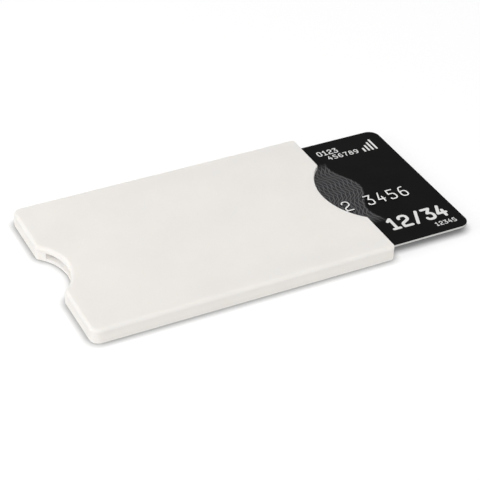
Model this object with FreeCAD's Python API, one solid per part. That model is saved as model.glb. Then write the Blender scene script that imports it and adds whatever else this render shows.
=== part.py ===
import FreeCAD, Part
import math
import os

# A hard plastic sleeve for one bank card, lined with foil against contactless reading.
# Millimetres. X runs along the sleeve with the open mouth at +X, Y across it, Z up.
# The origin is the centre of the underside, on the surface that the sleeve lies on.

# Card, at the standard size for bank cards
CARD_LENGTH = 85.60
CARD_WIDTH = 53.98
CARD_CORNER = 3.18
CARD_FILM = 0.08
CARD_CORE = 0.20
CARD_INLAY = 0.20
CARD_OUT = 26.10
EMBOSS_HEIGHT = 0.36

# Sleeve walls and the room round the card
SIDE_WALL = 2.40
END_WALL = 2.00
UPPER_PANEL = 1.47
LOWER_PANEL = 1.00
SIDE_CLEARANCE = 0.50
END_CLEARANCE = 0.40
CARD_PLAY = 0.05
EMBOSS_CLEARANCE = 0.06

# Sleeve outline and edges
REAR_CORNER = 2.60
MOUTH_CORNER = 1.20
SLOT_CORNER = 2.00
UPPER_EDGE = 1.00
LOWER_EDGE = 0.15
MOUTH_EDGE = 0.30
MOUTH_CUT_WIDTH = 28.90
MOUTH_CUT_DEPTH = 6.35
MOUTH_CUT_BLEND = 0.60
NOTCH_WIDTH = 21.00
NOTCH_DEPTH = 4.90
NOTCH_BLEND = 1.00

# Ribs inside both shells that the card's long edges run between
RIB_WIDTH = 1.20
LOWER_RIB_HEIGHT = 0.60
RIB_FROM_EDGE = 1.60
RIB_RAMP = 2.00
RIB_MARGIN = 3.00

# Welded seam between the shells, a tongue on the lower one and a groove in the upper one
TONGUE_WIDTH = 0.70
TONGUE_HEIGHT = 0.45
TONGUE_CLEARANCE = 0.05
SEAM_STOP = 2.50

# Shield foil, stuck into a shallow recess in each shell
FOIL = 0.08
FOIL_RECESS = 0.10
FOIL_MARGIN = 1.50
FOIL_CORNER = 1.50
FOIL_CLEARANCE = 0.10

# Chip module, at the standard place for the contacts of a bank card
CHIP_FROM_LEFT = 15.06
CHIP_FROM_TOP = 23.89
CHIP_LENGTH = 12.80
CHIP_WIDTH = 10.80
CHIP_CORNER = 1.60
CHIP_PADS = 0.04
CHIP_TAPE = 0.12
CHIP_CAPSULE = 0.36
CAPSULE_SIDE = 7.20
CAPSULE_CORNER = 1.40
CHIP_CLEARANCE = 0.05
PAD_LENGTH = 4.20
PAD_ROWS = 4
PAD_GAP = 0.25

# Antenna coil let into the inlay, with a bridge under the turns for its outer end
COIL_TURNS = 4
COIL_INSET = 3.20
COIL_PITCH = 0.80
COIL_TRACK = 0.40
COIL_DEPTH = 0.08
COIL_CORNER = 1.20
COIL_LEADS_APART = 3.00
BRIDGE_DEPTH = 0.06

# Magnetic stripe on the back of the card
STRIPE_WIDTH = 12.70
STRIPE_FROM_TOP = 4.40
STRIPE_DEPTH = 0.04

# Sizes and places that follow from those above
CARD_THICKNESS = 2 * CARD_FILM + 2 * CARD_CORE + CARD_INLAY
SLOT_HEIGHT = LOWER_RIB_HEIGHT + CARD_PLAY + CARD_THICKNESS + EMBOSS_HEIGHT + EMBOSS_CLEARANCE
UPPER_RIB_HEIGHT = EMBOSS_HEIGHT + EMBOSS_CLEARANCE - CARD_PLAY
SLOT_HALF_WIDTH = CARD_WIDTH / 2 + SIDE_CLEARANCE
HALF_WIDTH = SLOT_HALF_WIDTH + SIDE_WALL
HALF_LENGTH = (END_WALL + END_CLEARANCE + CARD_LENGTH) / 2
SLEEVE_HEIGHT = LOWER_PANEL + SLOT_HEIGHT + UPPER_PANEL
SLOT_FLOOR = LOWER_PANEL
SLOT_ROOF = LOWER_PANEL + SLOT_HEIGHT
SEAM_Z = SLOT_ROOF
SLOT_END = -HALF_LENGTH + END_WALL
RIB_Y = CARD_WIDTH / 2 - RIB_FROM_EDGE
CARD_RIGHT = HALF_LENGTH + CARD_OUT
CARD_LEFT = CARD_RIGHT - CARD_LENGTH
CARD_BOTTOM = SLOT_FLOOR + LOWER_RIB_HEIGHT + CARD_PLAY
CARD_TOP = CARD_BOTTOM + CARD_THICKNESS
CHIP_X = CARD_LEFT + CHIP_FROM_LEFT
CHIP_Y = CARD_WIDTH / 2 - CHIP_FROM_TOP
PAST = 2 * REAR_CORNER


def vec(x, y, z=0.0):
    return FreeCAD.Vector(x, y, z)


def line(p, q):
    return Part.LineSegment(p, q).toShape()


def arc(p, middle, q):
    return Part.Arc(p, middle, q).toShape()


def corner_arc(centre_x, centre_y, radius, start_degrees):
    """Quarter circle in plan that turns left from the start angle."""
    points = []
    for turn in (0, 45, 90):
        angle = math.radians(start_degrees + turn)
        points.append(vec(centre_x + radius * math.cos(angle), centre_y + radius * math.sin(angle)))
    return arc(*points)


def prism(edges, bottom, top):
    """Upright solid over a closed plan outline."""
    face = Part.Face(Part.Wire(edges))
    face.translate(vec(0, 0, bottom))
    return face.extrude(vec(0, 0, top - bottom))


def block(x0, x1, y0, y1, z0, z1):
    return Part.makeBox(x1 - x0, y1 - y0, z1 - z0, vec(x0, y0, z0))


def rounded_block(x0, x1, y0, y1, radius, bottom, top):
    """Upright solid over a rectangle with rounded corners."""
    edges = [
        line(vec(x0 + radius, y0), vec(x1 - radius, y0)),
        corner_arc(x1 - radius, y0 + radius, radius, -90),
        line(vec(x1, y0 + radius), vec(x1, y1 - radius)),
        corner_arc(x1 - radius, y1 - radius, radius, 0),
        line(vec(x1 - radius, y1), vec(x0 + radius, y1)),
        corner_arc(x0 + radius, y1 - radius, radius, 90),
        line(vec(x0, y1 - radius), vec(x0, y0 + radius)),
        corner_arc(x0 + radius, y0 + radius, radius, 180),
    ]
    return prism(edges, bottom, top)


def bite_radius(width, depth):
    """Radius of a circle that cuts so wide and so deep into a straight edge."""
    return ((width / 2) ** 2 + depth ** 2) / (2 * depth)


def bite_edges(edge_x, inward, width, depth, blend):
    """Round cut-out in an edge across the sleeve, as three arcs from -Y to +Y.

    inward is the X direction from the edge into the sleeve, +1 or -1. The outer arcs blend
    the cut into the edge, and the second result is the Y where they leave the edge.
    """
    radius = bite_radius(width, depth)
    offset = radius - depth
    blend_x = edge_x + inward * blend
    blend_y = math.sqrt((radius + blend) ** 2 - (offset + blend) ** 2)
    turn = math.acos((offset + blend) / (radius + blend))

    def on_blend(angle, side):
        x = blend_x - inward * blend * math.cos(angle)
        return vec(x, side * (blend_y - blend * math.sin(angle)))

    near = arc(on_blend(0, -1), on_blend(turn / 2, -1), on_blend(turn, -1))
    deep = arc(on_blend(turn, -1), vec(edge_x + inward * depth, 0), on_blend(turn, 1))
    far = arc(on_blend(turn, 1), on_blend(turn / 2, 1), on_blend(0, 1))
    return [near, deep, far], blend_y


def sleeve_outline():
    """Plan of the sleeve, with a thumb notch at the closed end and a wide bite at the mouth."""
    a = HALF_LENGTH
    b = HALF_WIDTH
    r = REAR_CORNER
    m = MOUTH_CORNER
    mouth, mouth_y = bite_edges(a, -1, MOUTH_CUT_WIDTH, MOUTH_CUT_DEPTH, MOUTH_CUT_BLEND)
    notch, notch_y = bite_edges(-a, 1, NOTCH_WIDTH, NOTCH_DEPTH, NOTCH_BLEND)
    edges = [line(vec(-a + r, -b), vec(a - m, -b)), corner_arc(a - m, -b + m, m, -90)]
    edges += [line(vec(a, -b + m), vec(a, -mouth_y)), *mouth, line(vec(a, mouth_y), vec(a, b - m))]
    edges += [corner_arc(a - m, b - m, m, 0), line(vec(a - m, b), vec(-a + r, b))]
    edges += [corner_arc(-a + r, b - r, r, 90), line(vec(-a, b - r), vec(-a, notch_y)), *notch]
    edges += [line(vec(-a, -notch_y), vec(-a, -b + r)), corner_arc(-a + r, -b + r, r, 180)]
    return Part.__sortEdges__(edges)


def soften_face(shape, face_z, edge_radius):
    """Round the edges of one broad face, fully at the sides and finely along the mouth.

    On the two corners beside the mouth the radius runs from the one to the other.
    """

    def radius_at(point):
        along_mouth = point.x > 0 and abs(point.y) < HALF_WIDTH - MOUTH_CORNER / 2
        return MOUTH_EDGE if along_mouth else edge_radius

    radii = []
    for number, edge in enumerate(shape.Edges, start=1):
        first = edge.valueAt(edge.FirstParameter)
        last = edge.valueAt(edge.LastParameter)
        if max(abs(first.z - face_z), abs(last.z - face_z)) < Part.Precision.confusion():
            radii.append((number, radius_at(first), radius_at(last)))
    document = FreeCAD.newDocument("soften")
    base = document.addObject("Part::Feature", "base")
    base.Shape = shape
    fillet = document.addObject("Part::Fillet", "fillet")
    fillet.Base = base
    fillet.Edges = radii
    document.recompute()
    softened = fillet.Shape.copy()
    FreeCAD.closeDocument(document.Name)
    return softened


def card_slot():
    """Room for the card, open at the mouth."""
    past_mouth = HALF_LENGTH + PAST
    return rounded_block(
        SLOT_END, past_mouth, -SLOT_HALF_WIDTH, SLOT_HALF_WIDTH, SLOT_CORNER, SLOT_FLOOR, SLOT_ROOF
    )


def guide_ribs(face_z, height):
    """Two ribs along the slot on one of its faces, ramped at both ends; a negative height hangs down."""
    start = SLOT_END + RIB_MARGIN
    end = HALF_LENGTH - RIB_MARGIN
    profile = [
        vec(start, 0, face_z),
        vec(start + RIB_RAMP, 0, face_z + height),
        vec(end - RIB_RAMP, 0, face_z + height),
        vec(end, 0, face_z),
    ]
    face = Part.Face(Part.makePolygon(profile + profile[:1]))
    ribs = []
    for y in (-RIB_Y, RIB_Y):
        rib = face.extrude(vec(0, RIB_WIDTH, 0))
        rib.translate(vec(0, y - RIB_WIDTH / 2, 0))
        ribs.append(rib)
    return ribs


def seam_rail(clearance, height):
    """Rail along the middle of the rim, on the long sides and round to the thumb notch."""
    side = (SIDE_WALL - TONGUE_WIDTH) / 2 - clearance
    end = (END_WALL - TONGUE_WIDTH) / 2 - clearance
    width = TONGUE_WIDTH + 2 * clearance
    past_mouth = HALF_LENGTH + PAST

    def plate(inset):
        x0 = -HALF_LENGTH + end + inset
        y1 = HALF_WIDTH - side - inset
        radius = REAR_CORNER - max(side, end) - inset
        return rounded_block(x0, past_mouth, -y1, y1, radius, SEAM_Z, SEAM_Z + height)

    rail = plate(0).cut(plate(width))
    stop = HALF_LENGTH - SEAM_STOP + clearance
    notch_side = NOTCH_WIDTH / 2 + NOTCH_BLEND + SEAM_STOP - clearance
    top = SEAM_Z + height
    rail = rail.cut(block(stop, past_mouth + PAST, -HALF_WIDTH, HALF_WIDTH, SEAM_Z, top))
    return rail.cut(block(-HALF_LENGTH, 0, -notch_side, notch_side, SEAM_Z, top))


def foil_sheet(shrink, bottom, top):
    """Sheet that lines the slot between the ribs, clear of the notch and the bite."""
    x0 = SLOT_END + FOIL_MARGIN + shrink
    x1 = HALF_LENGTH - FOIL_MARGIN - shrink
    y1 = RIB_Y - RIB_WIDTH / 2 - FOIL_MARGIN - shrink
    sheet = rounded_block(x0, x1, -y1, y1, FOIL_CORNER, bottom, top)
    bites = [(HALF_LENGTH, 1, MOUTH_CUT_WIDTH, MOUTH_CUT_DEPTH), (-HALF_LENGTH, -1, NOTCH_WIDTH, NOTCH_DEPTH)]
    for edge_x, outward, width, depth in bites:
        radius = bite_radius(width, depth)
        middle = vec(edge_x + outward * (radius - depth), 0, bottom)
        sheet = sheet.cut(Part.makeCylinder(radius + FOIL_MARGIN + shrink, top - bottom, middle))
    return sheet


def upper_shell():
    """Lid over the slot, with a groove for the tray's tongue."""
    shell = soften_face(prism(sleeve_outline(), SEAM_Z, SLEEVE_HEIGHT), SLEEVE_HEIGHT, UPPER_EDGE)
    shell = shell.cut(foil_sheet(0, SLOT_ROOF, SLOT_ROOF + FOIL_RECESS))
    shell = shell.cut(seam_rail(TONGUE_CLEARANCE, TONGUE_HEIGHT + TONGUE_CLEARANCE))
    return shell.fuse(guide_ribs(SLOT_ROOF, -UPPER_RIB_HEIGHT))


def lower_shell():
    """Tray with the slot's floor and the walls on its three closed sides."""
    shell = soften_face(prism(sleeve_outline(), 0, SEAM_Z), 0, LOWER_EDGE)
    shell = shell.cut(card_slot())
    shell = shell.cut(foil_sheet(0, SLOT_FLOOR - FOIL_RECESS, SLOT_FLOOR))
    return shell.fuse(guide_ribs(SLOT_FLOOR, LOWER_RIB_HEIGHT) + [seam_rail(0, TONGUE_HEIGHT)])


def upper_shield_foil():
    top = SLOT_ROOF + FOIL_RECESS
    return foil_sheet(FOIL_CLEARANCE, top - FOIL, top)


def lower_shield_foil():
    bottom = SLOT_FLOOR - FOIL_RECESS
    return foil_sheet(FOIL_CLEARANCE, bottom, bottom + FOIL)


def chip_plan(length, width, corner, bottom, top):
    """Upright solid over a rounded rectangle at the chip's place on the card."""
    x0 = CHIP_X - length / 2
    y0 = CHIP_Y - width / 2
    return rounded_block(x0, x0 + length, y0, y0 + width, corner, bottom, top)


def chip_pocket():
    """Stepped pocket that is milled into the card for the chip module."""
    ledge = CARD_TOP - CHIP_PADS - CHIP_TAPE
    depth = CHIP_CAPSULE + CHIP_CLEARANCE
    spare = 2 * CHIP_CLEARANCE
    wide = chip_plan(CHIP_LENGTH + spare, CHIP_WIDTH + spare, CHIP_CORNER, ledge, CARD_TOP)
    deep = chip_plan(CAPSULE_SIDE + spare, CAPSULE_SIDE + spare, CAPSULE_CORNER, ledge - depth, ledge)
    return wide.fuse(deep)


def chip_contact_pads():
    """Gold contacts in two columns beside a middle strip, parted by fine gaps."""
    bottom = CARD_TOP - CHIP_PADS
    pads = chip_plan(CHIP_LENGTH, CHIP_WIDTH, CHIP_CORNER, bottom, CARD_TOP)
    top = CHIP_Y + CHIP_WIDTH / 2
    for side in (-1, 1):
        gap_x = CHIP_X + side * (CHIP_LENGTH / 2 - PAD_LENGTH)
        edge_x = CHIP_X + side * CHIP_LENGTH / 2
        near, far = gap_x - PAD_GAP / 2, gap_x + PAD_GAP / 2
        pads = pads.cut(block(near, far, top - CHIP_WIDTH, top, bottom, CARD_TOP))
        for row in range(1, PAD_ROWS):
            y = top - row * CHIP_WIDTH / PAD_ROWS
            x0, x1 = sorted((gap_x, edge_x))
            pads = pads.cut(block(x0, x1, y - PAD_GAP / 2, y + PAD_GAP / 2, bottom, CARD_TOP))
    return pads


def chip_carrier_tape():
    top = CARD_TOP - CHIP_PADS
    return chip_plan(CHIP_LENGTH, CHIP_WIDTH, CHIP_CORNER, top - CHIP_TAPE, top)


def chip_capsule():
    top = CARD_TOP - CHIP_PADS - CHIP_TAPE
    return chip_plan(CAPSULE_SIDE, CAPSULE_SIDE, CAPSULE_CORNER, top - CHIP_CAPSULE, top)


def rounded_path(points, radius):
    """Wire through the points with its square corners rounded."""
    edges = []
    start = points[0]
    for before, corner, after in zip(points, points[1:], points[2:]):
        arrive = (corner - before).normalize() * radius
        leave = (after - corner).normalize() * radius
        bulge = (leave - arrive) * (1 - math.sqrt(0.5))
        edges.append(line(start, corner - arrive))
        edges.append(arc(corner - arrive, corner + bulge, corner + leave))
        start = corner + leave
    edges.append(line(start, points[-1]))
    return Part.Wire(edges)


def antenna_coil():
    """Flat square spiral round the card, with both ends led to the chip."""
    inlay_bottom = CARD_BOTTOM + CARD_FILM + CARD_CORE
    inlay_top = inlay_bottom + CARD_INLAY
    track_z = inlay_top - COIL_DEPTH
    left, right = CARD_LEFT + COIL_INSET, CARD_RIGHT - COIL_INSET
    low, high = COIL_INSET - CARD_WIDTH / 2, CARD_WIDTH / 2 - COIL_INSET
    outer_y = CHIP_Y + COIL_LEADS_APART / 2
    inner_y = CHIP_Y - COIL_LEADS_APART / 2
    lead_end = CHIP_X - CAPSULE_SIDE / 2 - CHIP_CLEARANCE - COIL_TRACK
    points = [vec(left, outer_y, track_z)]
    for turn in range(COIL_TURNS):
        step = turn * COIL_PITCH
        points.append(vec(left + step, high - step, track_z))
        points.append(vec(right - step, high - step, track_z))
        points.append(vec(right - step, low + step, track_z))
        points.append(vec(left + step + COIL_PITCH, low + step, track_z))
    points.append(vec(left + COIL_TURNS * COIL_PITCH, inner_y, track_z))
    points.append(vec(lead_end, inner_y, track_z))
    half_track = COIL_TRACK / 2
    section = [
        vec(left - half_track, outer_y, track_z),
        vec(left + half_track, outer_y, track_z),
        vec(left + half_track, outer_y, inlay_top),
        vec(left - half_track, outer_y, inlay_top),
    ]
    profile = Part.makePolygon(section + section[:1])
    spiral = rounded_path(points, COIL_CORNER).makePipeShell([profile], True, False)
    y0, y1 = outer_y, outer_y + COIL_TRACK
    x0 = left - half_track
    bridge = block(x0, lead_end, y0, y1, inlay_bottom, inlay_bottom + BRIDGE_DEPTH)
    riser = block(x0, x0 + COIL_TRACK, y0, y1, inlay_bottom, track_z)
    return spiral.fuse([bridge, riser])


def magnetic_stripe():
    top = CARD_WIDTH / 2 - STRIPE_FROM_TOP
    return block(CARD_LEFT, CARD_RIGHT, top - STRIPE_WIDTH, top, CARD_BOTTOM, CARD_BOTTOM + STRIPE_DEPTH)


def card_layers():
    """The laminated sheets of the card from the back up, each cut for what is let into it."""
    coil = antenna_coil()
    stripe = magnetic_stripe()
    pocket = chip_pocket()
    layers = [
        ("card_back_film", CARD_FILM, [stripe]),
        ("card_back_core", CARD_CORE, [pocket]),
        ("card_antenna_inlay", CARD_INLAY, [pocket, coil]),
        ("card_front_core", CARD_CORE, [pocket]),
        ("card_front_film", CARD_FILM, [pocket]),
    ]
    half_width = CARD_WIDTH / 2
    sheets = {"card_antenna_coil": coil, "card_magnetic_stripe": stripe}
    bottom = CARD_BOTTOM
    for name, thickness, cuts in layers:
        top = bottom + thickness
        sheet = rounded_block(CARD_LEFT, CARD_RIGHT, -half_width, half_width, CARD_CORNER, bottom, top)
        for tool in cuts:
            sheet = sheet.cut(tool)
        sheets[name] = sheet
        bottom = top
    return sheets


def all_nodes():
    nodes = {
        "upper_shell": upper_shell(),
        "lower_shell": lower_shell(),
        "upper_shield_foil": upper_shield_foil(),
        "lower_shield_foil": lower_shield_foil(),
        "chip_contact_pads": chip_contact_pads(),
        "chip_carrier_tape": chip_carrier_tape(),
        "chip_capsule": chip_capsule(),
    }
    nodes.update(card_layers())
    return nodes


os.makedirs("parts", exist_ok=True)
for node_name, node_shape in all_nodes().items():
    node_shape = node_shape.removeSplitter()
    solids = len(node_shape.Solids)
    print(f"{node_name}: {solids} solid(s), {node_shape.Volume:.2f} mm3, valid {node_shape.isValid()}")
    node_shape.exportStep(os.path.join("parts", node_name + ".step"))
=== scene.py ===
import math

import bmesh
import bpy
from mathutils import Matrix, Vector


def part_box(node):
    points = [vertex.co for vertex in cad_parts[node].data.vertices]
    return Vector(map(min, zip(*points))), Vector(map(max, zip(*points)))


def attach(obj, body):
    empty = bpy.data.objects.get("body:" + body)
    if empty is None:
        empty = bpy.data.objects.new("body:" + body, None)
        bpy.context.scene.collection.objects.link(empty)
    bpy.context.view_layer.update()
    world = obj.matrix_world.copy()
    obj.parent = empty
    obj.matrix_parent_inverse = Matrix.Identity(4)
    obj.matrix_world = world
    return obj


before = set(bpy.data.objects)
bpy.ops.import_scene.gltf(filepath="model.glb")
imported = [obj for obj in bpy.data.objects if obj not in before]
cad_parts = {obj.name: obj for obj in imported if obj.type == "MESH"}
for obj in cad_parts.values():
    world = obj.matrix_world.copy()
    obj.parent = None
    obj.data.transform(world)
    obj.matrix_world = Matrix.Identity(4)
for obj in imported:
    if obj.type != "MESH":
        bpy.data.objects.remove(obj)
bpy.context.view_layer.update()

# Metres. X runs along the sleeve towards its mouth, Y across it, Z up; the floor is at zero.
MM = 0.001
TURN = 2 * math.pi

# Camera
IMAGE_PIXELS = 480
FOCAL_PIXELS = 1614.0
SENSOR_MM = 36.0
CAMERA_AZIMUTH = math.radians(-27.123)
CAMERA_ELEVATION = math.radians(35.584)
CAMERA_ROLL = math.radians(1.428)
CAMERA_AIM = Vector((9.78, -4.25, 0.0)) * MM
CAMERA_DISTANCE = 443.4 * MM

# Light, where a level of 1 lights a white surface to plain white
WORLD_LEVEL = 0.47
WORLD_COLOUR = (1.0, 1.0, 1.0)
# Each lamp: its name, the azimuth and elevation of where it stands in degrees, how far off and how wide it
# is in mm, its level on a surface at the origin that faces it, and whether it casts shadows
LAMPS = [
    ("fill_top", 0.0, 88.0, 1600.0, 1160.0, 0.386, False),
    ("fill_front", -42.0, 18.0, 1600.0, 1160.0, 0.325, False),
    ("lamp_left", -92.0, 26.0, 260.0, 150.0, 0.145, True),
    ("lamp_right", 100.0, 20.0, 1600.0, 1480.0, 0.12, True),
    ("lamp_back", -172.0, 50.0, 1600.0, 1840.0, 0.07, True),
]

# Floor: its lift is the light that it adds where it is seen, and it has painted shade close to what stands
# on it
FLOOR_HALF_SIZE = 3.0
FLOOR_COLOUR = (0.94, 0.94, 0.94)
FLOOR_LIFT = 0.07
# Painted shade on the floor: the colour it is darkened towards, how far it reaches, its samples and its
# strength
PAINTED_SHADE_COLOUR = (0.0, 0.0, 0.0)
CONTACT_REACH = 2.5 * MM
CONTACT_SAMPLES = 16
CONTACT_POWER = 1.35

# Digits raised on the card, in mm: 16 in groups of four
CARD_NUMBER = "1234567890123456"
DIGIT_GROUP = 4
DIGIT_PITCH = 3.63
DIGIT_WIDTH = 1.98
DIGIT_HEIGHT = 4.33
LAST_DIGIT_FROM_RIGHT = 9.35
DIGITS_FROM_BOTTOM = 19.30
# Sections of a raised stroke and of the silver on its crest: each corner's place across the stroke and its
# height over the card
RIDGE_PROFILE = [
    (-0.38, 0.0), (-0.32, 0.14), (-0.24, 0.27), (-0.14, 0.32),
    (0.14, 0.32), (0.24, 0.27), (0.32, 0.14), (0.38, 0.0),
]
TIPPING_PROFILE = [
    (-0.23, 0.25), (-0.21, 0.31), (-0.13, 0.36),
    (0.13, 0.36), (0.21, 0.31), (0.23, 0.25),
]

# Flat print, in mm: each text, how far its first digit is from the card's left and its foot from the card's
# bottom, and the digits' pitch, width, height and stroke
PRINTS = [
    ("12/34", 64.40, 6.55, 3.85, 2.45, 4.75, 0.95),
    ("12345", 76.35, 2.95, 1.40, 0.85, 1.55, 0.26),
    ("0123", 63.60, 47.75, 1.75, 1.10, 2.10, 0.36),
    ("456789", 65.60, 44.95, 1.75, 1.05, 1.80, 0.30),
]
PRINT_LOW = -0.010
PRINT_HIGH = 0.012
# Rising bars beside the small print, in mm
BARS = 4
BARS_FROM_LEFT = 77.50
BARS_FROM_BOTTOM = 44.80
BAR_CELL = 1.0
BAR_PITCH = 1.30
BAR_LOW = 1.50
BAR_RISE = 1.15
BAR_STROKE = 0.62

# Strokes of the signs in a cell one wide and one high, each corner with its rounding as a share of the
# width. True closes a stroke into a loop. The ends of an open stroke have no rounding.
STROKES = {
    "0": [(True, [(0, 0, 0.5), (1, 0, 0.5), (1, 1, 0.5), (0, 1, 0.5)])],
    "1": [
        (False, [(0.15, 0.80, 0), (0.55, 1, 0.05), (0.55, 0, 0)]),
        (False, [(0.15, 0, 0), (0.95, 0, 0)]),
    ],
    "2": [(False, [
        (0, 0.78, 0), (0, 1, 0.45), (1, 1, 0.45), (1, 0.58, 0.40), (0, 0.30, 0.35), (0, 0, 0.05), (1, 0, 0),
    ])],
    "3": [(False, [
        (0.04, 1, 0), (0.96, 1, 0.06), (0.42, 0.58, 0.08), (1, 0.58, 0.45),
        (1, 0, 0.48), (0, 0, 0.45), (0, 0.17, 0),
    ])],
    "4": [
        (False, [(0.55, 1, 0), (0, 0.30, 0.06), (1, 0.30, 0)]),
        (False, [(0.74, 0.56, 0), (0.74, 0, 0)]),
    ],
    "5": [(False, [
        (0.94, 1, 0), (0.08, 1, 0.06), (0.04, 0.57, 0.06), (1, 0.60, 0.48),
        (1, 0, 0.48), (0, 0, 0.35), (0, 0.12, 0),
    ])],
    "6": [
        (True, [(0, 0, 0.45), (1, 0, 0.45), (1, 0.56, 0.45), (0, 0.56, 0.45)]),
        (False, [(0.84, 1, 0), (0.30, 1, 0.40), (0, 0.60, 0.50), (0, 0.30, 0)]),
    ],
    "7": [(False, [(0, 1, 0), (1, 1, 0.08), (0.48, 0.36, 0.30), (0.48, 0, 0)])],
    "8": [
        (True, [(0.12, 0.55, 0.32), (0.88, 0.55, 0.32), (0.88, 1, 0.32), (0.12, 1, 0.32)]),
        (True, [(0, 0, 0.40), (1, 0, 0.40), (1, 0.55, 0.40), (0, 0.55, 0.40)]),
    ],
    "9": [
        (True, [(0, 0.44, 0.45), (1, 0.44, 0.45), (1, 1, 0.45), (0, 1, 0.45)]),
        (False, [(0.16, 0, 0), (0.70, 0, 0.40), (1, 0.40, 0.50), (1, 0.70, 0)]),
    ],
    "/": [(False, [(0.10, -0.04, 0), (0.90, 1.04, 0)])],
    "|": [(False, [(0, 0, 0), (0, 1, 0)])],
}
# Facets of a rounded corner and of a quarter turn at a stroke's end
CORNER_STEPS = 9
CAP_STEPS = 6
# A corner that turns by less than this many radians is left as a point
STRAIGHT = 0.04
# How much of a run one rounded corner may take up, alone on it or with another at its far end
LONE_ROOM = 0.98
SHARED_ROOM = 0.49
# Points of a sign that are closer than this, in mm, are one
WELD = 1e-4
SHARP_EDGE = math.radians(40.0)

# Film on both faces of the card: its darkest and lightest black, and its gloss and grain
FRONT_BLACK = ((0.0052, 0.0052, 0.0052), (0.0068, 0.0067, 0.0066))
BACK_BLACK = ((0.0050, 0.0050, 0.0050), (0.0066, 0.0065, 0.0064))
FILM_SPECULAR = 0.03
FILM_GRAIN = {
    "patch_mm": 9.0,
    "rough": (0.36, 0.44),
    "grain_mm": 0.12,
    "grain_depth_mm": 0.004,
    "grain_strength": 0.12,
}

# Patch of tint on the card's front with a waving edge, in mm, but its start in radians: where the edge runs
# and how it swings, the patch's middle, its depth along X, its reach to either side, and how softly it ends
WAVE_X = 49.6
WAVE_LENGTH = 23.0
WAVE_START = 0.9
WAVE_SWING = 2.0
WAVE_Y = 0.5
WAVE_BAND = 29.0
WAVE_REACH = 16.5
WAVE_EDGE = 0.2
WAVE_FADE = 3.0
WAVE_TINT = (0.033, 0.033, 0.035)
# Two sets of fine rippling lines on that patch, in mm, but apart by a phase in radians: a line is whole out
# to its core and gone at its rim
RIPPLE_LENGTH = 7.4
RIPPLE_APART = 0.9
RIPPLE_SWING = 0.8
LINE_PITCH = 1.3
LINE_CORE = 0.05
LINE_RIM = 0.16
LINE_TINT = (0.115, 0.115, 0.118)

# Range that most of a noise lies in, and how many patches of gloss there are to one of colour, side by side
NOISE_LOW = 0.3
NOISE_HIGH = 0.7
GLOSS_PER_PATCH = 3


def plug(tree, value, socket):
    """Link a socket, or set a plain value, on an input."""
    if isinstance(value, bpy.types.NodeSocket):
        tree.links.new(value, socket)
    else:
        socket.default_value = value


def node(tree, kind, inputs=None, **settings):
    """New node with its settings and inputs."""
    made = tree.nodes.new(kind)
    for key, value in settings.items():
        setattr(made, key, value)
    for key, value in (inputs or {}).items():
        plug(tree, value, made.inputs[key])
    return made


def calc(tree, operation, *values):
    """Math node of up to three inputs, giving its output."""
    made = node(tree, "ShaderNodeMath", operation=operation)
    for socket, value in zip(made.inputs, values):
        plug(tree, value, socket)
    return made.outputs[0]


def noise(tree, place, size_mm, detail=2.0):
    """Noise whose patches are about so many mm across, around 0.5."""
    inputs = {"Vector": place, "Scale": 1 / (size_mm * MM), "Detail": detail}
    return node(tree, "ShaderNodeTexNoise", inputs).outputs["Fac"]


def stretched(tree, place, x, y, z):
    """The place with its axes scaled."""
    return node(tree, "ShaderNodeMapping", {"Vector": place, "Scale": (x, y, z)}).outputs["Vector"]


def span(tree, value, low, high, start=NOISE_LOW, end=NOISE_HIGH):
    """Map a value from the range start to end onto low to high, held at the ends."""
    inputs = {"Value": value, "From Min": start, "From Max": end, "To Min": low, "To Max": high}
    return node(tree, "ShaderNodeMapRange", inputs).outputs["Result"]


def blend(tree, share, first, second):
    """Mix two colours by a share."""
    made = node(tree, "ShaderNodeMix", data_type="RGBA")
    plug(tree, share, made.inputs["Factor"])
    for key, value in (("A", first), ("B", second)):
        socket = next(s for s in made.inputs if s.name == key and s.type == "RGBA")
        plug(tree, value if isinstance(value, bpy.types.NodeSocket) else (*value, 1.0), socket)
    return next(s for s in made.outputs if s.type == "RGBA")


def bump(tree, height, depth_mm, strength):
    """Normal of a surface raised by a height from 0 to 1."""
    inputs = {"Height": height, "Strength": strength, "Distance": depth_mm * MM}
    return node(tree, "ShaderNodeBump", inputs).outputs["Normal"]


def new_material(name, **sockets):
    """Material with a Principled shader, whose plain values are set on its own sockets."""
    made = bpy.data.materials.new(name)
    made.use_nodes = True
    tree = made.node_tree
    shader = tree.nodes["Principled BSDF"]
    for key, value in sockets.items():
        shader.inputs[key.replace("_", " ")].default_value = value
    place = node(tree, "ShaderNodeTexCoord").outputs["Object"]
    return made, tree, shader, place


def cloudy(tree, place, dark, light, patch_mm):
    """Colour that drifts between two in patches."""
    return blend(tree, span(tree, noise(tree, place, patch_mm), 0.0, 1.0), dark, light)


def finish_grain(tree, shader, place, patch_mm, rough, grain_mm, grain_depth_mm, grain_strength):
    """Give a shader uneven gloss and a fine raised grain."""
    gloss = noise(tree, place, patch_mm / GLOSS_PER_PATCH)
    plug(tree, span(tree, gloss, *rough), shader.inputs["Roughness"])
    grain = noise(tree, place, grain_mm)
    plug(tree, bump(tree, grain, grain_depth_mm, grain_strength), shader.inputs["Normal"])


def speckled(
    name, dark, light, patch_mm, rough, grain_mm, grain_depth_mm, grain_strength, stretch=None, **sockets
):
    """Material with cloudy colour, uneven gloss and a fine grain, which a stretch makes run one way."""
    made, tree, shader, place = new_material(name, **sockets)
    if stretch:
        place = stretched(tree, place, *stretch)
    plug(tree, cloudy(tree, place, dark, light, patch_mm), shader.inputs["Base Color"])
    finish_grain(tree, shader, place, patch_mm, rough, grain_mm, grain_depth_mm, grain_strength)
    return made


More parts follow.
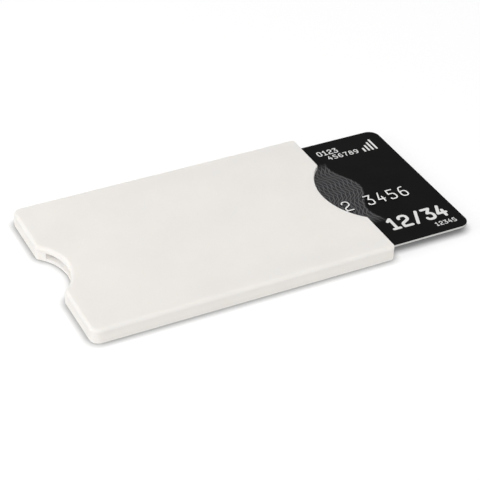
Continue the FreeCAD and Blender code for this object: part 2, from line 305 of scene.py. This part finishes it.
def wave_patch(tree, x, y):
    """How far a place on the card is in from the patch's waving edge, in mm, and how much tint it takes."""
    swing = calc(tree, "SINE", calc(tree, "MULTIPLY_ADD", y, TURN / WAVE_LENGTH, WAVE_START))
    inward = calc(tree, "SUBTRACT", calc(tree, "MULTIPLY_ADD", swing, WAVE_SWING, WAVE_X), x)
    starts = span(tree, inward, 0.0, 1.0, 0.0, WAVE_EDGE)
    ends = span(tree, inward, 1.0, 0.0, WAVE_BAND, WAVE_BAND + WAVE_EDGE)
    from_middle = calc(tree, "ABSOLUTE", calc(tree, "SUBTRACT", y, WAVE_Y))
    fades = span(tree, from_middle, 1.0, 0.0, WAVE_REACH - WAVE_FADE, WAVE_REACH)
    return inward, calc(tree, "MULTIPLY", calc(tree, "MULTIPLY", starts, ends), fades)


def wave_lines(tree, inward, y):
    """Share of a place that the two sets of rippling lines cover."""
    lines = []
    for sign in (-1, 1):
        ripple = calc(tree, "SINE", calc(tree, "MULTIPLY_ADD", y, TURN / RIPPLE_LENGTH, sign * RIPPLE_APART))
        rippled = calc(tree, "MULTIPLY_ADD", ripple, sign * RIPPLE_SWING, inward)
        from_line = calc(tree, "PINGPONG", rippled, LINE_PITCH / 2)
        lines.append(span(tree, from_line, 1.0, 0.0, LINE_CORE, LINE_RIM))
    return calc(tree, "MAXIMUM", *lines)


def card_front_material():
    """Black film with a patch of fine waving lines in dark greys, as security printing has."""
    made, tree, shader, place = new_material("card_front_print", Specular_IOR_Level=FILM_SPECULAR)
    place_in_mm = stretched(tree, place, 1 / MM, 1 / MM, 1 / MM)
    axes = node(tree, "ShaderNodeSeparateXYZ", {"Vector": place_in_mm})
    x, y = axes.outputs["X"], axes.outputs["Y"]
    inward, patch = wave_patch(tree, x, y)
    drawn = calc(tree, "MULTIPLY", wave_lines(tree, inward, y), patch)
    black = cloudy(tree, place, *FRONT_BLACK, FILM_GRAIN["patch_mm"])
    tinted = blend(tree, patch, black, WAVE_TINT)
    plug(tree, blend(tree, drawn, tinted, LINE_TINT), shader.inputs["Base Color"])
    finish_grain(tree, shader, place, **FILM_GRAIN)
    return made


def dress(material, *names):
    """Give CAD nodes a material in place of their own."""
    for name in names:
        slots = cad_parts[name].data.materials
        slots.clear()
        slots.append(material)


def sweepable_runs(corners, closed, half_width):
    """Cut an open stroke at each corner rounded by less than its half width, where a sweep would fold."""
    runs = [[corners[0]]]
    for corner in corners[1:]:
        runs[-1].append(corner)
        rounding = corner[2]
        if not closed and 0 < rounding < half_width:
            runs.append([corner])
    return runs


def rounded_stroke(points, roundings, closed):
    """Plan points along a stroke with its corners rounded, each with the way ahead there."""
    count = len(points)
    ends = () if closed else (0, count - 1)
    path = []
    for i, corner in enumerate(points):
        before = points[i - 1]
        after = points[(i + 1) % count]
        inward = (corner - before).normalized()
        outward = (after - corner).normalized()
        if i in ends:
            path.append((corner, outward if i == 0 else inward))
            continue
        turn = inward.angle(outward)
        if turn < STRAIGHT:
            path.append((corner, (inward + outward).normalized()))
            continue
        room_before = (corner - before).length * (LONE_ROOM if i - 1 in ends else SHARED_ROOM)
        room_after = (after - corner).length * (LONE_ROOM if i + 1 in ends else SHARED_ROOM)
        reach = min(roundings[i] * math.tan(turn / 2), room_before, room_after)
        bend = reach / math.tan(turn / 2)
        centre = corner + (outward - inward).normalized() * (bend / math.cos(turn / 2))
        first = corner - inward * reach - centre
        last = corner + outward * reach - centre
        for step in range(CORNER_STEPS + 1):
            share = step / CORNER_STEPS
            path.append((centre + first.slerp(last, share) * bend, inward.slerp(outward, share)))
    return path


def plain_mesh(solid, name):
    """Turn a bmesh into a mesh and free it."""
    mesh = bpy.data.meshes.new(name)
    solid.to_mesh(mesh)
    solid.free()
    return mesh


def swept_stroke(path, closed, profile):
    """Closed mesh of one profile swept along a plan path, with each free end turned round its last point."""
    stations = [(*place, 0.0) for place in path]
    if not closed:
        turns = [TURN / 4 * step / CAP_STEPS for step in range(1, CAP_STEPS + 1)]
        first_cap = [(*path[0], -turn) for turn in reversed(turns)]
        last_cap = [(*path[-1], turn) for turn in turns]
        stations = first_cap + stations + last_cap
    solid = bmesh.new()
    rings = []
    for point, ahead, turn in stations:
        side = Vector((-ahead.y, ahead.x))
        ring = []
        for across, up in profile:
            spot = point + side * (across * math.cos(turn)) + ahead * (abs(across) * math.sin(turn))
            ring.append(solid.verts.new((spot.x, spot.y, up)))
        rings.append(ring)
    pairs = list(zip(rings, rings[1:])) + ([(rings[-1], rings[0])] if closed else [])
    for one, two in pairs:
        for k, corner in enumerate(one):
            following = (k + 1) % len(profile)
            solid.faces.new((corner, two[k], two[following], one[following]))
    bmesh.ops.remove_doubles(solid, verts=solid.verts, dist=WELD)
    bmesh.ops.recalc_face_normals(solid, faces=solid.faces)
    return plain_mesh(solid, "stroke")


def united(meshes):
    """One mesh with the outer skin of several closed ones that overlap."""
    strokes = [bpy.data.objects.new("stroke", mesh) for mesh in meshes]
    for stroke in strokes:
        bpy.context.scene.collection.objects.link(stroke)
    for other in strokes[1:]:
        join = strokes[0].modifiers.new("join", "BOOLEAN")
        join.operation = "UNION"
        join.solver = "EXACT"
        join.object = other
    whole = strokes[0].evaluated_get(bpy.context.evaluated_depsgraph_get())
    solid = bmesh.new()
    solid.from_mesh(bpy.data.meshes.new_from_object(whole))
    for stroke in strokes:
        bpy.data.objects.remove(stroke)
    bmesh.ops.remove_doubles(solid, verts=solid.verts, dist=WELD)
    bmesh.ops.dissolve_degenerate(solid, edges=solid.edges, dist=WELD)
    return plain_mesh(solid, "sign")


def sign_mesh(sign, width, height, profile):
    """Clean mesh of one sign, in mm from the lower left corner of its cell."""
    half_width = max(across for across, _ in profile)
    strokes = []
    for closed, corners in STROKES[sign]:
        for run in sweepable_runs(corners, closed, half_width / width):
            plan = [Vector((x * width, y * height)) for x, y, _ in run]
            roundings = [rounding * width for _, _, rounding in run]
            strokes.append(swept_stroke(rounded_stroke(plan, roundings, closed), closed, profile))
    return united(strokes)


def stroke_mesh(name, signs, profile):
    """One piece of swept signs on the card, each a sign with its lower left corner, width and height."""
    shapes = {}
    joined = bmesh.new()
    for sign, origin, width, height in signs:
        shape = sign, width, height
        if shape not in shapes:
            shapes[shape] = sign_mesh(*shape, profile)
        first = len(joined.verts)
        joined.from_mesh(shapes[shape])
        joined.verts.ensure_lookup_table()
        for vert in joined.verts[first:]:
            vert.co = (vert.co + origin) * MM
    mesh = plain_mesh(joined, name)
    mesh.shade_smooth()
    mesh.set_sharp_from_angle(angle=SHARP_EDGE)
    piece = bpy.data.objects.new(name, mesh)
    bpy.context.scene.collection.objects.link(piece)
    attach(piece, "card")
    return piece


def on_card(from_left, from_bottom):
    """Place on the card's front, in mm from its left and bottom edges."""
    low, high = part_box("card_front_film")
    return Vector((low[0] / MM + from_left, low[1] / MM + from_bottom, high[2] / MM))


def card_number_signs():
    """The raised digits, counted back from the last one, with one empty cell between groups."""
    low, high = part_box("card_front_film")
    last = (high[0] - low[0]) / MM - LAST_DIGIT_FROM_RIGHT - DIGIT_WIDTH / 2
    signs = []
    for i, sign in enumerate(CARD_NUMBER):
        from_last = len(CARD_NUMBER) - 1 - i
        cells = from_last + from_last // DIGIT_GROUP
        origin = on_card(last - cells * DIGIT_PITCH, DIGITS_FROM_BOTTOM)
        signs.append((sign, origin, DIGIT_WIDTH, DIGIT_HEIGHT))
    return signs


def flat_profile(stroke):
    """Section of a printed stroke, a little into the card and a little proud of it."""
    half = stroke / 2
    return [(-half, PRINT_LOW), (-half, PRINT_HIGH), (half, PRINT_HIGH), (half, PRINT_LOW)]


def make_prints(material):
    """Flat digits and rising bars on the card's front."""
    for i, (text, from_left, from_bottom, pitch, width, height, stroke) in enumerate(PRINTS):
        signs = []
        for k, sign in enumerate(text):
            signs.append((sign, on_card(from_left + k * pitch, from_bottom), width, height))
        stroke_mesh(f"card_print_{i}", signs, flat_profile(stroke)).data.materials.append(material)
    bars = []
    for k in range(BARS):
        foot = on_card(BARS_FROM_LEFT + k * BAR_PITCH, BARS_FROM_BOTTOM)
        bars.append(("|", foot, BAR_CELL, BAR_LOW + k * BAR_RISE))
    stroke_mesh("card_print_bars", bars, flat_profile(BAR_STROKE)).data.materials.append(material)


def floor_material():
    """Matt white, lifted where it is seen, with a short painted shade where something stands on it."""
    material = bpy.data.materials.new("floor_white")
    material.use_nodes = True
    tree = material.node_tree
    tree.nodes.clear()
    path = node(tree, "ShaderNodeLightPath")
    seen = calc(tree, "MAXIMUM", path.outputs["Is Camera Ray"], path.outputs["Is Glossy Ray"])
    seen = calc(tree, "MAXIMUM", seen, path.outputs["Is Transmission Ray"])
    # Painted shade: ambient occlusion darkens the floor's colour and lift close to what stands on it
    near = node(tree, "ShaderNodeAmbientOcclusion", {"Distance": CONTACT_REACH}, samples=CONTACT_SAMPLES)
    open_share = calc(tree, "POWER", near.outputs["AO"], calc(tree, "MULTIPLY", seen, CONTACT_POWER))
    colour = blend(tree, open_share, PAINTED_SHADE_COLOUR, FLOOR_COLOUR)
    matt = node(tree, "ShaderNodeBsdfDiffuse", {"Color": colour})
    lift = calc(tree, "MULTIPLY", open_share, FLOOR_LIFT)
    glow = node(tree, "ShaderNodeEmission", {"Strength": calc(tree, "MULTIPLY", seen, lift)})
    both = node(tree, "ShaderNodeAddShader")
    tree.links.new(matt.outputs[0], both.inputs[0])
    tree.links.new(glow.outputs[0], both.inputs[1])
    output = node(tree, "ShaderNodeOutputMaterial")
    tree.links.new(both.outputs[0], output.inputs["Surface"])
    return material


def make_floor():
    """Level floor at zero."""
    mesh = bpy.data.meshes.new("floor")
    s = FLOOR_HALF_SIZE
    mesh.from_pydata([(-s, -s, 0), (s, -s, 0), (s, s, 0), (-s, s, 0)], [], [(0, 1, 2, 3)])
    mesh.materials.append(floor_material())
    floor = bpy.data.objects.new("floor", mesh)
    bpy.context.scene.collection.objects.link(floor)


def direction(azimuth, elevation):
    """Unit vector towards where something stands: azimuth 0 is at -Y, and it grows towards +X."""
    along_floor = math.cos(elevation)
    return Vector((math.sin(azimuth) * along_floor, -math.cos(azimuth) * along_floor, math.sin(elevation)))


def make_lights():
    """Even sky and round lamps that face the origin."""
    world = bpy.data.worlds.new("world")
    bpy.context.scene.world = world
    world.use_nodes = True
    sky = world.node_tree.nodes["Background"]
    sky.inputs["Color"].default_value = (*WORLD_COLOUR, 1.0)
    sky.inputs["Strength"].default_value = WORLD_LEVEL
    for name, azimuth, elevation, distance, width, level, casts_shadow in LAMPS:
        toward = direction(math.radians(azimuth), math.radians(elevation))
        data = bpy.data.lights.new(name, "AREA")
        data.shape = "DISK"
        data.size = width * MM
        data.energy = level * (math.pi * distance * MM) ** 2
        data.use_shadow = casts_shadow
        lamp = bpy.data.objects.new(name, data)
        lamp.rotation_mode = "QUATERNION"
        lamp.rotation_quaternion = toward.to_track_quat("Z", "Y")
        lamp.location = toward * distance * MM
        lamp.visible_camera = False
        bpy.context.scene.collection.objects.link(lamp)


def make_camera():
    """Camera at the photograph's viewing angle, turned about its own axis by the roll."""
    back = direction(CAMERA_AZIMUTH, CAMERA_ELEVATION)
    level_right = Vector((0, 0, 1)).cross(back).normalized()
    level_up = back.cross(level_right)
    right = math.cos(CAMERA_ROLL) * level_right + math.sin(CAMERA_ROLL) * level_up
    up = back.cross(right)
    data = bpy.data.cameras.new("camera")
    data.sensor_width = SENSOR_MM
    data.lens = FOCAL_PIXELS / IMAGE_PIXELS * SENSOR_MM
    camera = bpy.data.objects.new("camera", data)
    turn = Matrix((right, up, back)).transposed().to_4x4()
    camera.matrix_world = Matrix.Translation(CAMERA_AIM + back * CAMERA_DISTANCE) @ turn
    bpy.context.scene.collection.objects.link(camera)
    bpy.context.scene.camera = camera


bpy.context.scene.view_settings.view_transform = "Standard"
make_camera()
make_lights()
make_floor()

# Materials
shell_plastic = speckled(
    "shell_plastic",
    dark=(0.785, 0.762, 0.732), light=(0.805, 0.782, 0.752), patch_mm=14.0,
    rough=(0.50, 0.58), grain_mm=0.16, grain_depth_mm=0.006, grain_strength=0.20,
    Specular_IOR_Level=0.15,
    Subsurface_Weight=0.6, Subsurface_Radius=(1.0, 0.9, 0.8), Subsurface_Scale=1.5 * MM,
)
shield_foil = speckled(
    "shield_foil",
    dark=(0.70, 0.70, 0.71), light=(0.82, 0.82, 0.83), patch_mm=0.5,
    rough=(0.52, 0.66), grain_mm=0.25, grain_depth_mm=0.01, grain_strength=0.25,
    stretch=(0.08, 1.0, 1.0), Metallic=1.0,
)
card_back = speckled("card_black_film", *BACK_BLACK, **FILM_GRAIN, Specular_IOR_Level=FILM_SPECULAR)
card_core = speckled(
    "card_white_core",
    dark=(0.54, 0.54, 0.53), light=(0.62, 0.62, 0.60), patch_mm=1.5,
    rough=(0.48, 0.60), grain_mm=0.10, grain_depth_mm=0.006, grain_strength=0.30,
)
card_inlay = speckled(
    "card_inlay",
    dark=(0.50, 0.50, 0.49), light=(0.58, 0.58, 0.56), patch_mm=1.5,
    rough=(0.48, 0.60), grain_mm=0.10, grain_depth_mm=0.006, grain_strength=0.30,
)
coil_copper = speckled(
    "coil_copper",
    dark=(0.62, 0.30, 0.17), light=(0.76, 0.42, 0.25), patch_mm=0.8,
    rough=(0.25, 0.40), grain_mm=0.10, grain_depth_mm=0.004, grain_strength=0.20,
    Metallic=1.0,
)
magnetic_coating = speckled(
    "magnetic_coating",
    dark=(0.014, 0.011, 0.009), light=(0.021, 0.016, 0.014), patch_mm=4.0,
    rough=(0.30, 0.42), grain_mm=0.08, grain_depth_mm=0.003, grain_strength=0.15,
    stretch=(0.2, 1.0, 1.0), Specular_IOR_Level=0.25,
)
contact_gold = speckled(
    "contact_gold",
    dark=(0.72, 0.53, 0.22), light=(0.86, 0.67, 0.32), patch_mm=1.2,
    rough=(0.22, 0.36), grain_mm=0.06, grain_depth_mm=0.003, grain_strength=0.25,
    stretch=(1.0, 0.25, 1.0), Metallic=1.0,
)
chip_tape = speckled(
    "chip_tape",
    dark=(0.08, 0.06, 0.03), light=(0.12, 0.10, 0.05), patch_mm=0.6,
    rough=(0.45, 0.60), grain_mm=0.12, grain_depth_mm=0.006, grain_strength=0.30,
)
chip_resin = speckled(
    "chip_resin",
    dark=(0.022, 0.022, 0.022), light=(0.036, 0.036, 0.036), patch_mm=0.8,
    rough=(0.25, 0.38), grain_mm=0.10, grain_depth_mm=0.006, grain_strength=0.25,
)
silver_tipping = speckled(
    "silver_tipping",
    dark=(0.80, 0.80, 0.79), light=(0.90, 0.90, 0.89), patch_mm=0.5,
    rough=(0.30, 0.42), grain_mm=0.08, grain_depth_mm=0.004, grain_strength=0.25,
    Metallic=0.10,
)
white_ink = speckled(
    "white_ink",
    dark=(0.70, 0.70, 0.69), light=(0.76, 0.76, 0.75), patch_mm=0.9,
    rough=(0.42, 0.52), grain_mm=0.08, grain_depth_mm=0.003, grain_strength=0.15,
    Specular_IOR_Level=0.25,
)

# Sleeve
dress(shell_plastic, "upper_shell", "lower_shell")
dress(shield_foil, "upper_shield_foil", "lower_shield_foil")

# Card
dress(card_front_material(), "card_front_film")
dress(card_back, "card_back_film")
dress(card_core, "card_front_core", "card_back_core")
dress(card_inlay, "card_antenna_inlay")
dress(coil_copper, "card_antenna_coil")
dress(magnetic_coating, "card_magnetic_stripe")
dress(contact_gold, "chip_contact_pads")
dress(chip_tape, "chip_carrier_tape")
dress(chip_resin, "chip_capsule")

# Raised digits and flat print on the card
number = card_number_signs()
ridges = stroke_mesh("card_number_ridges", number, RIDGE_PROFILE)
ridges.data.materials.append(card_back)
tipping = stroke_mesh("card_number_tipping", number, TIPPING_PROFILE)
tipping.data.materials.append(silver_tipping)
make_prints(white_ink)
